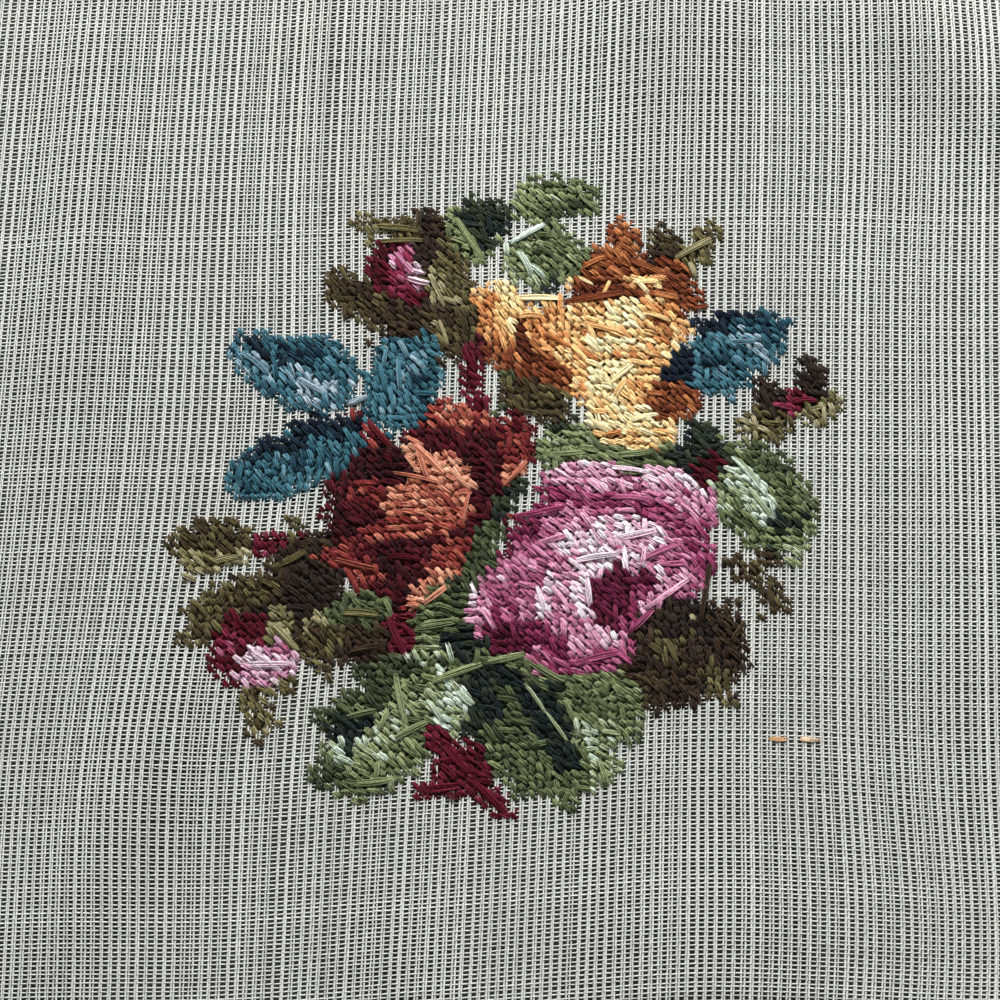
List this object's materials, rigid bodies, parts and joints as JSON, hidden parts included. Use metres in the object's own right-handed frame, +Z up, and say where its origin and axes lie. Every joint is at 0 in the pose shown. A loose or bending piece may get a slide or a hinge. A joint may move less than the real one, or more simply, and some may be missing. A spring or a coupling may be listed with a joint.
{
  "type": "needlepoint canvas panel",
  "caption": "Flat needlepoint canvas panel, reverse side up, worked in wool with a bouquet of roses, buds and leaves; soft ripples, plain cut edges; for framing or upholstery",
  "frame": {"origin": "bottom centre of the panel's box, on the surface it lies on", "axes": "+Y along the warp towards the top of the bouquet, +X along the weft to the right seen from above, +Z up out of the reverse side"},
  "size_m": [0.322, 0.336, 0.0066],
  "materials": {
    "canvas": "matt double-thread cotton canvas, slightly stiffened, greenish white",
    "wool_gold": "matt tapestry wool, pale yellow to amber and rust brown",
    "wool_rust": "matt tapestry wool, salmon to rust and dark burgundy",
    "wool_pink": "matt tapestry wool, near white to rose and magenta",
    "wool_teal": "matt tapestry wool, blue grey to dark teal",
    "wool_green": "matt tapestry wool, mint, leaf green and blackish green",
    "wool_olive": "matt tapestry wool, olive to dark brown",
    "wool_burgundy": "matt tapestry wool, burgundy and pink",
    "tacking_cotton": "soft cotton tacking thread, peach orange"
  },
  "bodies": {
    "root": {"canvas": "canvas", "rose_gold": "wool_gold", "rose_rust": "wool_rust", "rose_pink": "wool_pink", "bud_upper": "wool_burgundy", "bud_right": "wool_burgundy", "bud_left": "wool_burgundy", "leaf_teal_outer": "wool_teal", "leaf_teal_inner": "wool_teal", "leaf_teal_lower": "wool_teal", "leaf_teal_right": "wool_teal", "leaf_crest": "wool_green", "leaf_crown_left": "wool_green", "leaf_crown_right": "wool_green", "leaf_lobe_left": "wool_olive", "leaf_lobe_right": "wool_olive", "sepal_arch": "wool_olive", "sepal_spine": "wool_olive", "sepal_outer": "wool_olive", "stem_upper": "wool_burgundy", "leaf_shade": "wool_olive", "leaf_band": "wool_green", "leaf_hollow": "wool_green", "leaf_right": "wool_green", "twig_right": "wool_olive", "twig_spur": "wool_olive", "leaf_dark": "wool_olive", "leaf_left": "wool_olive", "stem_left": "wool_burgundy", "twig_left": "wool_olive", "sepal_left": "wool_olive", "leaf_under_bud": "wool_olive", "leaf_tip": "wool_olive", "stem_middle": "wool_burgundy", "leaf_between": "wool_green", "leaf_base_left": "wool_green", "leaf_base_right": "wool_green", "leaf_base_middle": "wool_green", "stem_base": "wool_burgundy", "stem_side": "wool_burgundy", "tacking_inner": "tacking_cotton", "tacking_outer": "tacking_cotton"}
  },
  "joints": []
}
